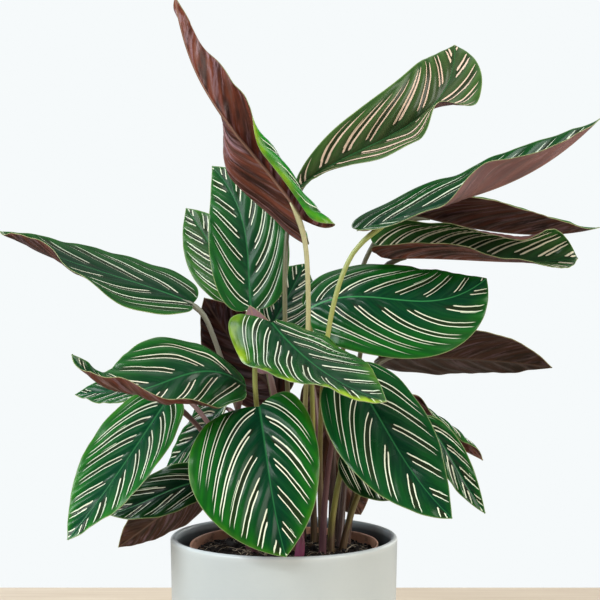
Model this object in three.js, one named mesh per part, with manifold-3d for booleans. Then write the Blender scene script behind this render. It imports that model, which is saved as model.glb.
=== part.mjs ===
// Potted pin-stripe calathea: a ceramic cover pot, the plastic nursery pot that stands in it, the soil,
// a young shoot, and the leaves, each with its blade and its stalk. Millimetres, +Z up, floor at z = 0.
import * as THREE from "three";
import { mergeVertices } from "three/addons/utils/BufferGeometryUtils.js";
import Module from "manifold-3d";

const wasm = await Module();
wasm.setup();

// ---------------------------------------------------------------- driving dimensions
const gap = 0.3; // air left between two pieces that touch

const coverPot = {
  height: 185,
  radius: 104, // outside, at the rim
  footRadius: 100, // outside, just above the foot
  wall: 5.5,
  floor: 10,
  footRound: 7,
  innerRound: 9,
};

const nurseryPot = {
  rimRadius: 86.5,
  rimTop: 178,
  bandHeight: 14, // the stiff band under the rim
  step: 3, // how far the wall steps in below the band
  baseRadius: 64,
  wall: 1.6,
  drainHoles: 6,
  drainRadius: 5,
  drainCircle: 44,
};

const soilTop = 172;
const buried = 15; // how deep the stalks stand in the soil

const stalkRadius = 2.6;
const bladeThickness = 1.4;
const pointedEnd = 0.5; // half-width left at the two ends of a blade
const flatEnd = 12; // half-width below which a blade bends less and less, towards its two ends

const shoot = { x: 12, y: -38, radius: 4.5, height: 44, lean: 0.12 };

const roundSegments = 48;
const stalkSides = 6;
const stalkSteps = 7;

// ---------------------------------------------------------------- leaves
// width: across both halves. widest: where that is, from 0 at the base to 1 at the tip. A smaller blunt
// rounds the base and a larger point fills out the tip. A positive skew makes the left half wider.
// lobe, slant: how far the half-width reaches back past the base, for both halves and more on the right one.
// sweep: how far the margin runs ahead of the midrib near the tip.
// rib: four points that the midrib passes, from its base to its tip.
// face: where the upper side looks, at the base and at the tip.
// left, right: how each half bends, seen from above with the tip ahead, in degrees. fold is the angle at the
// midrib, curl is added evenly out to the margin and hook close to it. A list runs from the base to the tip.
// root: where the stalk enters the soil. via: a point halfway up that the stalk passes.
const bend = (fold, curl = 0, hook = 0) => ({ fold, curl, hook });

const leaves = [
  // the high leaves
  {
    name: "spire", colour: "underside", width: 90, skew: -0.1, point: 1.35, lobe: 1.85, slant: 0.15,
    rib: [[16, -28, 474], [-29, -48, 532], [-69, -70, 585], [-91, -92, 658]],
    face: [[0.3, 0.9, 0.2], [0.3, 0.9, 0.3]],
    left: bend([30, 75, 84, 80, 68, 40], [0, -255, -250, -120, 0, 0]),
    right: bend([50, 40, 32, 86, 100, 100]),
    root: [10, -8], via: [22, -16, 374],
  },
  {
    name: "paddle", colour: "upperSide", width: 82, widest: 0.6, blunt: 1, point: 2.6,
    rib: [[8, 17, 500], [70, 28, 541], [135, 40, 580], [165, 66, 649]],
    face: [[-0.3, -0.8, 0.5], [0, -0.95, 0.2]],
    left: bend([60, 50, 32, 18], [-10, -10, -20]),
    right: bend([60, 46, 36, 32, 38, 70, 30, 30, 20], [0, 0, -20]),
    root: [14, 16], via: [1, 8, 384],
  },
  {
    name: "sweep", colour: "underside", width: 80, lobe: 1.6, slant: -0.4,
    rib: [[81, -20, 466], [142, -50, 486], [201, -84, 505], [264, -112, 552]],
    face: [[-0.1, -0.22, 0.95], [-0.2, -0.25, 0.9]],
    left: bend([28, 20, 28, 42, 42, 38]),
    right: bend([20, -4, 4, 44, 34, 32]),
    root: [36, -18], via: [40, -24, 369],
  },
  {
    name: "wing", colour: "underside", width: 80, widest: 0.26, point: 1.5,
    rib: [[125, 44, 483], [185, 64, 471], [251, 84, 466], [315, 104, 474]],
    face: [[0, -0.1, 1], [0, -0.2, 0.9]],
    left: bend([45, 56, 48]),
    right: bend([40, 50, 42]),
    root: [44, 16], via: [65, 48, 401],
  },
  {
    name: "scroll", colour: "upperSide", width: 88, widest: 0.5, blunt: 0.4, point: 4, lobe: 1.4,
    rib: [[102, 38, 441], [162, 34, 440], [222, 26, 437], [274, 16, 440]],
    face: [[0, -0.2, 1], [0, -0.3, 0.9]],
    left: bend([60, 60, 55, 50], [20, 95, 145, 40]),
    right: bend([30, 30, 18, -5]),
    root: [50, 6], via: [76, 46, 372],
  },
  {
    name: "upright", colour: "upperSide", width: 76, skew: -0.06, lobe: 0.5,
    rib: [[-31, 16, 394], [-34, 24, 437], [-42, 38, 483], [-70, 56, 530]],
    face: [[-0.05, -1, 0.1]],
    left: bend(8),
    right: bend(8),
    root: [2, 12],
  },
  {
    name: "outrigger", colour: "upperSide", width: 88, widest: 0.45, lobe: 0.5, slant: -0.2,
    rib: [[-84, -4, 398], [-143, 8, 419], [-206, 22, 439], [-270, 36, 466]],
    face: [[0.25, -0.6, 0.78]],
    left: bend([8, 0, 8, 20, 30], [0, 0, 36, 75, 60]),
    right: bend([10, -8, -8, 0]),
    root: [-6, 0], via: [-57, -4, 346],
  },
  // the middle leaves
  {
    name: "broad", colour: "upperSide", width: 100, skew: -0.1, widest: 0.5,
    point: 2.4, lobe: 0.6, sweep: 0.08,
    rib: [[23, 10, 393], [77, 0, 404], [131, -4, 400], [187, 4, 421]],
    face: [[0, -0.9, 0.4], [0.1, -0.9, 0.3]],
    left: bend(-15, -15),
    right: bend(0, -12),
    root: [28, 22],
  },
  {
    name: "dusk", colour: "underside", width: 72, widest: 0.45,
    rib: [[90, 56, 346], [153, 90, 344], [218, 124, 339], [276, 148, 331]],
    face: [[0, 0.7, 0.7]],
    left: bend(12),
    right: bend(12),
    root: [46, 34],
  },
  {
    name: "centre", colour: "upperSide", width: 84, lobe: 1.4, slant: 0.6,
    rib: [[-10, -46, 381], [16, -84, 355], [48, -122, 333], [84, -154, 320]],
    face: [[0, -0.62, 0.78], [0.1, -0.7, 0.7]],
    left: bend([-25, -12, 4, 10], -10),
    right: bend([0, -22, 12, 34, 20], -10),
    root: [4, -24], via: [-25, -36, 316],
  },
  {
    name: "curled", colour: "upperSide", width: 88, point: 1.4, lobe: -0.15, slant: -0.45,
    rib: [[-33, -44, 325], [-83, -74, 337], [-128, -100, 324], [-174, -118, 356]],
    face: [[0, -0.7, 0.7]],
    left: bend([0, -34, -20, 50, 60], [0, 0, 60, 50, 20], [90, 90, 60, 0, 0]),
    right: bend([-25, -6, 14, 10, -5, -25, -10]),
    root: [-22, -18], via: [-41, -36, 258],
  },
  {
    name: "sliver", colour: "upperSide", width: 54,
    rib: [[-103, 38, 319], [-137, 48, 317], [-171, 58, 313], [-204, 66, 309]],
    face: [[0, -0.6, 0.8]],
    left: bend(10),
    right: bend(10),
    root: [-28, 8],
  },
  // the low leaves
  {
    name: "front", colour: "upperSide", width: 112, skew: -0.2, widest: 0.42, lobe: 0.45, slant: -0.35,
    rib: [[-21, -58, 308], [-14, -88, 269], [-7, -106, 229], [3, -116, 188]],
    face: [[0, -0.95, 0.35], [0.05, -0.98, 0.1]],
    left: bend(5, -12),
    right: bend(12, -12),
    root: [-12, -34],
  },
  {
    name: "shoulder", colour: "upperSide", width: 88, skew: -0.12, lobe: 0.5,
    rib: [[59, -48, 337], [85, -74, 296], [108, -100, 258], [140, -122, 221]],
    face: [[0.1, -0.9, 0.4]],
    left: bend(5, -10),
    right: bend(12, -10),
    root: [34, -34],
  },
  {
    name: "droop", colour: "upperSide", width: 76, skew: -0.05, lobe: 0.5,
    rib: [[-106, -8, 311], [-132, -34, 270], [-157, -58, 232], [-185, -78, 195]],
    face: [[-0.3, -0.8, 0.5]],
    left: bend(12),
    right: bend(12),
    root: [-30, -4],
  },
  {
    name: "strand", colour: "upperSide", width: 30,
    rib: [[128, 6, 291], [147, 6, 267], [163, 0, 239], [184, -8, 206]],
    face: [[0, -0.9, 0.3]],
    left: bend(15),
    right: bend(15),
    root: [52, -2],
  },
  {
    name: "ribbon", colour: "underside", width: 32,
    rib: [[114, 40, 308], [142, 60, 287], [169, 78, 269], [196, 92, 242]],
    face: [[0, 1, 0.2]],
    left: bend(10),
    right: bend(0, [0, -150, -190, -190]),
    root: [58, 22],
  },
  {
    name: "nook", colour: "upperSide", width: 56,
    rib: [[60, -12, 268], [76, -16, 253], [91, -20, 237], [105, -24, 222]],
    face: [[-0.1, -0.9, 0.3]],
    left: bend(5),
    right: bend(5),
    root: [42, -8],
  },
  {
    name: "bronze", colour: "underside", width: 50, widest: 0.6, point: 3,
    rib: [[26, 50, 324], [38, 64, 280], [54, 80, 234], [75, 92, 188]],
    face: [[0, 1, 0]],
    left: bend(5),
    right: bend(5),
    root: [36, 30],
  },
  {
    name: "shade", colour: "upperSide", width: 46,
    rib: [[-65, 20, 233], [-98, 22, 226], [-131, 22, 212], [-164, 20, 200]],
    face: [[0, -0.8, 0.5]],
    left: bend(5),
    right: bend(5),
    root: [-16, 14],
  },
  {
    name: "plum", colour: "underside", width: 60,
    rib: [[-82, 56, 235], [-102, 68, 208], [-132, 76, 182], [-164, 80, 158]],
    face: [[-0.1, 0.8, 0.6]],
    left: bend(5),
    right: bend(5),
    root: [-28, 24],
  },
  // the leaves at the back
  {
    name: "back_left", colour: "upperSide", width: 60,
    rib: [[-46, 74, 403], [-63, 88, 434], [-80, 104, 464], [-101, 120, 494]],
    face: [[0, -1, 0.2]],
    left: bend(5),
    right: bend(5),
    root: [-8, 46],
  },
  {
    name: "back_right", colour: "upperSide", width: 66,
    rib: [[-18, 66, 367], [-5, 88, 390], [7, 110, 413], [19, 130, 438]],
    face: [[0.1, -1, 0.1]],
    left: bend(5),
    right: bend(5),
    root: [18, 46],
  },
  {
    name: "maroon", colour: "underside", width: 74,
    rib: [[-2, 26, 309], [-27, 36, 334], [-54, 48, 367], [-78, 60, 403]],
    face: [[0, 0.9, 0.2]],
    left: bend(5),
    right: bend(5),
    root: [6, 34],
  },
  {
    name: "lilac", colour: "underside", width: 34,
    rib: [[-13, -8, 335], [-19, -10, 355], [-25, -12, 375], [-31, -14, 396]],
    face: [[0, 1, 0]],
    left: bend(5),
    right: bend(5),
    root: [2, 1],
  },
  {
    name: "pale", colour: "upperSide", width: 60,
    rib: [[-57, 54, 300], [-77, 78, 278], [-97, 98, 255], [-120, 114, 233]],
    face: [[-0.4, -0.7, 0.6]],
    left: bend(5),
    right: bend(5),
    root: [-12, 28],
  },
];

// ---------------------------------------------------------------- materials
const finish = (color, roughness) => new THREE.MeshStandardMaterial({ color, roughness, metalness: 0 });

const materials = {
  coverPot: finish("#a9b2b5", 0.55),
  nurseryPot: finish("#7d4630", 0.6),
  soil: finish("#2a1f19", 0.95),
  upperSide: finish("#1f6b34", 0.35),
  underside: finish("#5c3037", 0.5),
  stalk: finish("#8f9152", 0.45),
  shoot: finish("#8a3a5c", 0.4),
};

// ---------------------------------------------------------------- helpers
const up = new THREE.Vector3(0, 0, 1);
const radians = THREE.MathUtils.degToRad;

const merged = (geometry) => {
  geometry.deleteAttribute("normal");
  geometry.deleteAttribute("uv");
  return mergeVertices(geometry, 1e-4);
};

// A body turned about Z from a profile of radius and height that starts and ends on the axis.
const turned = (profile, divisions = 3) => {
  const points = profile.getPoints(divisions);
  return merged(new THREE.LatheGeometry(points, roundSegments).rotateX(Math.PI / 2));
};

const toSolid = (geometry) => {
  const vertProperties = new Float32Array(geometry.attributes.position.array);
  const triVerts = new Uint32Array(geometry.index.array);
  return new wasm.Manifold(new wasm.Mesh({ numProp: 3, vertProperties, triVerts }));
};

const toGeometry = (solid) => {
  const mesh = solid.getMesh();
  const geometry = new THREE.BufferGeometry();
  geometry.setAttribute("position", new THREE.BufferAttribute(mesh.vertProperties, 3));
  geometry.setIndex(new THREE.BufferAttribute(mesh.triVerts, 1));
  return geometry;
};

// A closed sheet through a row of rings. Each ring runs along the upper side and back along the lower, and
// both sides are cut into triangles along the same diagonals, so a twisted sheet keeps its thickness.
const loft = (rings) => {
  const around = rings[0].length;
  const points = rings.flat();
  const triangles = [];
  for (let row = 0; row < rings.length - 1; row += 1) {
    for (let k = 0; k < around; k += 1) {
      const a = row * around + k;
      const b = row * around + ((k + 1) % around);
      const [c, d] = [a + around, b + around];
      if (k < around / 2) triangles.push(a, b, d, a, d, c);
      else triangles.push(a, b, c, b, d, c);
    }
  }
  const last = (rings.length - 1) * around;
  for (let k = 1; k < around - 1; k += 1) {
    triangles.push(0, k + 1, k);
    triangles.push(last, last + k, last + k + 1);
  }
  const geometry = new THREE.BufferGeometry().setFromPoints(points);
  geometry.setIndex(triangles);
  return geometry;
};

// ---------------------------------------------------------------- leaf shape
// The value at t, from base to tip, of a number or of a list spread evenly along the leaf.
const along = (values, t) => {
  const list = [values].flat();
  const place = t * (list.length - 1);
  const first = Math.min(Math.floor(place), list.length - 1);
  const next = Math.min(first + 1, list.length - 1);
  return THREE.MathUtils.lerp(list[first], list[next], THREE.MathUtils.smoothstep(place - first, 0, 1));
};

const midrib = (leaf) => {
  const [p0, p1, p2, p3] = leaf.rib.map((p) => new THREE.Vector3(...p));
  const mix = (a, b, c, d) => new THREE.Vector3()
    .addScaledVector(p0, a).addScaledVector(p1, b).addScaledVector(p2, c).addScaledVector(p3, d);
  const handle1 = mix(-5 / 6, 3, -3 / 2, 1 / 3);
  const handle2 = mix(1 / 3, -3 / 2, 3, -5 / 6);
  return new THREE.CubicBezierCurve3(p0, handle1, handle2, p3);
};

// Share of the full half-width at t: an elliptic base and a pointed tip.
const outline = (t, { widest = 0.4, blunt = 0.5, point = 1.8 }) => {
  if (t < widest) return (1 - (1 - t / widest) ** 2) ** blunt;
  return 1 - ((t - widest) / (1 - widest)) ** point;
};

const frameAt = (leaf, curve, t) => {
  const ahead = curve.getTangentAt(t);
  const [x, y, z] = [0, 1, 2].map((axis) => along(leaf.face.map((direction) => direction[axis]), t));
  const normal = new THREE.Vector3(x, y, z);
  normal.addScaledVector(ahead, -normal.dot(ahead)).normalize();
  return { ahead, normal, across: ahead.clone().cross(normal) };
};

// The point and the upper-side normal of a blade at t along it and v across it, -1 left to 1 right.
const bladePoint = (leaf, curve, t, v) => {
  const { ahead, normal, across } = frameAt(leaf, curve, t);
  const side = v < 0 ? -1 : 1;
  const share = Math.abs(v);
  const half = side < 0 ? leaf.left : leaf.right;
  const fold = along(half.fold, t);
  const curl = along(half.curl, t);
  const hook = along(half.hook, t);
  const { width, skew = 0, lobe = 0.3, slant = 0, sweep = 0.25 } = leaf;
  const halfWidth = Math.max((width / 2) * outline(t, leaf), pointedEnd);
  const bent = Math.min(1, halfWidth / flatEnd);
  const angle = (s) => radians(bent * (fold + curl * s + hook * s ** 4));
  const reach = halfWidth * (1 - side * skew) * share;
  const steps = 24;
  let out = 0;
  let rise = 0;
  for (let i = 0; i < steps; i += 1) {
    const s = ((i + 0.5) / steps) * share;
    out += (Math.cos(angle(s)) * reach) / steps;
    rise += (Math.sin(angle(s)) * reach) / steps;
  }
  const shift = (sweep * t - (lobe + side * slant) * (1 - t) ** 2) * halfWidth * share;
  const at = curve.getPointAt(t)
    .addScaledVector(across, side * out).addScaledVector(normal, rise).addScaledVector(ahead, shift);
  const tilt = share > 0 ? angle(share) : 0;
  const lean = across.clone().multiplyScalar(-side * Math.sin(tilt));
  const facing = lean.addScaledVector(normal, Math.cos(tilt));
  return { at, facing };
};

const bladeGeometry = (leaf) => {
  const curve = midrib(leaf);
  const large = leaf.width > 66;
  const rows = large ? 14 : 8;
  const half = large ? [0.36, 0.65, 0.82, 0.92, 1] : [0.4, 0.75, 1];
  const shares = [...half.toReversed().map((v) => -v), 0, ...half];
  const rings = [];
  for (let row = 0; row <= rows; row += 1) {
    const even = row / rows;
    const t = 0.5 * even + 0.25 * (1 - Math.cos(Math.PI * even)); // closer together at the two ends
    const points = shares.map((v) => bladePoint(leaf, curve, t, v));
    const offset = (distance) => ({ at, facing }) => at.clone().addScaledVector(facing, distance);
    const upper = points.map(offset(bladeThickness / 2));
    const lower = points.map(offset(-bladeThickness / 2));
    rings.push([...upper, ...lower.reverse()]);
  }
  return loft(rings);
};

// ---------------------------------------------------------------- stalks
// The stalk ends against the underside of the blade, where the midrib starts.
const stalkPath = (leaf) => {
  const root = new THREE.Vector3(leaf.root[0], leaf.root[1], soilTop - buried);
  const curve = midrib(leaf);
  const ribStart = curve.getPointAt(0);
  const { normal } = frameAt(leaf, curve, 0);
  const partWay = ribStart.clone().sub(root).multiply(new THREE.Vector3(0.3, 0.3, 0.58)).add(root);
  const via = leaf.via ? new THREE.Vector3(...leaf.via) : partWay;
  const control = (end) => root.clone().add(end).multiplyScalar(-0.5).addScaledVector(via, 2);
  const arriving = ribStart.clone().sub(control(ribStart)).normalize();
  const slant = Math.sqrt(Math.max(0, 1 - arriving.dot(normal) ** 2));
  const clear = bladeThickness / 2 + gap + stalkRadius * slant;
  const top = ribStart.clone().addScaledVector(normal, -clear);
  return new THREE.QuadraticBezierCurve3(root, control(top), top);
};

const tube = (path, radius) => {
  const corners = Array.from({ length: stalkSides }, (_, k) => {
    const turn = (k / stalkSides) * Math.PI * 2;
    return new THREE.Vector2(radius * Math.cos(turn), radius * Math.sin(turn));
  });
  const options = { steps: stalkSteps, bevelEnabled: false, extrudePath: path };
  return merged(new THREE.ExtrudeGeometry(new THREE.Shape(corners), options));
};

// ---------------------------------------------------------------- pots, soil and shoot
const coverPotGeometry = () => {
  const { height, radius, footRadius, wall, floor, footRound, innerRound } = coverPot;
  const lip = wall / 2;
  const innerFoot = footRadius - wall;
  const profile = new THREE.Path();
  profile.moveTo(0, 0);
  profile.lineTo(footRadius - footRound, 0);
  profile.absarc(footRadius - footRound, footRound, footRound, -Math.PI / 2, 0, false);
  profile.lineTo(radius, height - lip);
  profile.absarc(radius - lip, height - lip, lip, 0, Math.PI, false);
  profile.lineTo(innerFoot, floor + innerRound);
  profile.absarc(innerFoot - innerRound, floor + innerRound, innerRound, 0, -Math.PI / 2, true);
  profile.lineTo(0, floor);
  return turned(profile);
};

const nurseryBase = coverPot.floor + gap;
const nurseryInner = {
  base: nurseryPot.baseRadius - nurseryPot.wall,
  belowBand: nurseryPot.rimRadius - nurseryPot.step - nurseryPot.wall,
  rim: nurseryPot.rimRadius - nurseryPot.wall,
  floor: nurseryBase + nurseryPot.wall,
  bandFoot: nurseryPot.rimTop - nurseryPot.bandHeight,
};

const nurseryPotGeometry = () => {
  const { rimRadius, rimTop, step, baseRadius, wall, drainHoles, drainRadius, drainCircle } = nurseryPot;
  const { base, belowBand, rim, floor, bandFoot } = nurseryInner;
  const profile = new THREE.Path();
  profile.moveTo(0, nurseryBase);
  profile.lineTo(baseRadius, nurseryBase);
  profile.lineTo(rimRadius - step, bandFoot);
  profile.lineTo(rimRadius, bandFoot);
  profile.lineTo(rimRadius, rimTop);
  profile.lineTo(rim, rimTop);
  profile.lineTo(rim, bandFoot + wall);
  profile.lineTo(belowBand, bandFoot);
  profile.lineTo(base, floor);
  profile.lineTo(0, floor);
  let pot = toSolid(turned(profile));
  for (let k = 0; k < drainHoles; k += 1) {
    const turn = (k / drainHoles) * Math.PI * 2;
    const hole = wasm.Manifold.cylinder(4 * wall, drainRadius, drainRadius, 12, true);
    const [x, y] = [drainCircle * Math.cos(turn), drainCircle * Math.sin(turn)];
    pot = pot.subtract(hole.translate([x, y, nurseryBase]));
  }
  return toGeometry(pot);
};

const shootPlace = new THREE.Vector3(shoot.x, shoot.y, soilTop - buried);

// A spindle, rolled tight, that stands in the soil like a stalk.
const shootGeometry = (extra = 0) => {
  const { radius, height } = shoot;
  const profile = new THREE.Path();
  profile.moveTo(0, -extra);
  profile.lineTo(radius * 0.8 + extra, -extra);
  profile.quadraticCurveTo(radius * 1.3 + extra, height * 0.45, radius * 0.25 + extra, height);
  profile.lineTo(0, height + extra);
  const points = profile.getPoints(5);
  return merged(new THREE.LatheGeometry(points, 10).rotateX(Math.PI / 2).rotateY(shoot.lean));
};

const soilGeometry = () => {
  const { base, belowBand, rim, floor, bandFoot } = nurseryInner;
  const profile = new THREE.Path();
  profile.moveTo(0, floor + gap);
  profile.lineTo(base - gap, floor + gap);
  profile.lineTo(belowBand - gap, bandFoot);
  profile.lineTo(rim - gap, bandFoot + nurseryPot.wall + gap);
  profile.lineTo(rim - gap, soilTop);
  profile.lineTo(0, soilTop);
  let soil = toSolid(turned(profile));
  for (const leaf of leaves) {
    const { v0, v1, v2 } = stalkPath(leaf);
    const lowered = new THREE.QuadraticBezierCurve3(v0.clone().addScaledVector(up, -gap), v1, v2);
    soil = soil.subtract(toSolid(tube(lowered, stalkRadius + gap)));
  }
  soil = soil.subtract(toSolid(shootGeometry(gap).translate(...shootPlace)));
  return toGeometry(soil);
};

// ---------------------------------------------------------------- assembly
const plant = new THREE.Group();

const add = (name, geometry, material, place = new THREE.Vector3()) => {
  const mesh = new THREE.Mesh(geometry, material);
  mesh.name = name;
  mesh.position.copy(place);
  plant.add(mesh);
};

add("cover_pot", coverPotGeometry(), materials.coverPot);
add("nursery_pot", nurseryPotGeometry(), materials.nurseryPot);
add("soil", soilGeometry(), materials.soil);
add("young_shoot", shootGeometry(), materials.shoot, shootPlace);
for (const leaf of leaves) {
  add(`${leaf.name}_blade`, bladeGeometry(leaf), materials[leaf.colour]);
  add(`${leaf.name}_stalk`, tube(stalkPath(leaf), stalkRadius), materials.stalk);
}

export default plant;
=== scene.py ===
"""Looks for the potted pin-stripe calathea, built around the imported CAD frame.

The leaf table and the shapes are in millimetres, which add_piece turns into metres. Materials, floor,
lights and camera are in metres.
"""
import math

import bmesh
import bpy
import numpy as np
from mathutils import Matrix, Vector


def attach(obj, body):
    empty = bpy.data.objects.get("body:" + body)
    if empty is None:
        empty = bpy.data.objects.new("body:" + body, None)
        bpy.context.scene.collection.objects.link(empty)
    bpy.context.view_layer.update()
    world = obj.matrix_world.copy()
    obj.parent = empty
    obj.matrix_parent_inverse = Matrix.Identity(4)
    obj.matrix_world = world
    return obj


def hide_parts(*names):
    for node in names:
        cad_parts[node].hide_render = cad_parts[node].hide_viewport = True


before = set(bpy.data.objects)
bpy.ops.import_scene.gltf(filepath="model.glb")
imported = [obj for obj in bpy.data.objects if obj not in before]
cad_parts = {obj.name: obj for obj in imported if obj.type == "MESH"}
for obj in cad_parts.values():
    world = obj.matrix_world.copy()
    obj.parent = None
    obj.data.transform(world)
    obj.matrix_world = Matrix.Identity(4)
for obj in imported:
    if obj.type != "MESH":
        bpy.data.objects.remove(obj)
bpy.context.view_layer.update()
scene = bpy.context.scene
show = scene.collection.objects.link

MM = 0.001
TURN = 2 * np.pi
SOIL_TOP = 172.0
BURIED = 15.0  # of a stalk, below the soil's top
GAP = 0.3  # between a stalk's top and its blade
BLADE_THICKNESS = 1.4  # of the CAD blade; the visible one is thinner
SKIN = 0.3  # half the thickness of a visible blade
POINTED_END = 0.5  # the least half width of a blade
FLAT_END = 12.0  # the half width from which a blade bends fully
STALK_RADIUS = 2.6  # of the CAD stalk
UPPER, UNDERSIDE, RIM = 0, 1, 2
LARGE_LEAF = 66.0  # wider leaves have the finer grid
MARGIN_WAVE = 0.6  # the height of each of the margin's waves
RIB_ABOVE, RIB_BELOW = 0.55, 1.1  # how far the midrib sinks into the upper side and stands below the other
VEINS_PER_HALF = 20.0  # keeps each half's veins apart in the noise
STALK_SIDES = 18
SOIL_RADIUS, SOIL_UNDERSIDE = 84.3, 160.0
CRUMBS, FIBRES = 620, 120
LEAF_IOR = 1.45
MATT = 0.2  # specular level of undersides and soil


# ---- leaves
def bend(fold, curl=0, hook=0):
    """The angles, in degrees, that a half turns at its midrib, across its width and at its margin."""
    return fold, curl, hook


# the colours of a stalk at the soil, half way and at its blade
STALKS = dict(
    pale=((0.13, 0.075, 0.04), (0.36, 0.33, 0.13), (0.43, 0.4, 0.22)),
    olive=((0.1, 0.06, 0.035), (0.28, 0.27, 0.055), (0.27, 0.31, 0.09)),
    dark=((0.07, 0.035, 0.03), (0.14, 0.13, 0.05), (0.1, 0.1, 0.06)),
    purple=((0.1, 0.04, 0.05), (0.13, 0.05, 0.06), (0.17, 0.1, 0.09)),
    grey=((0.09, 0.04, 0.035), (0.12, 0.09, 0.06), (0.17, 0.17, 0.13)),
)

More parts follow.
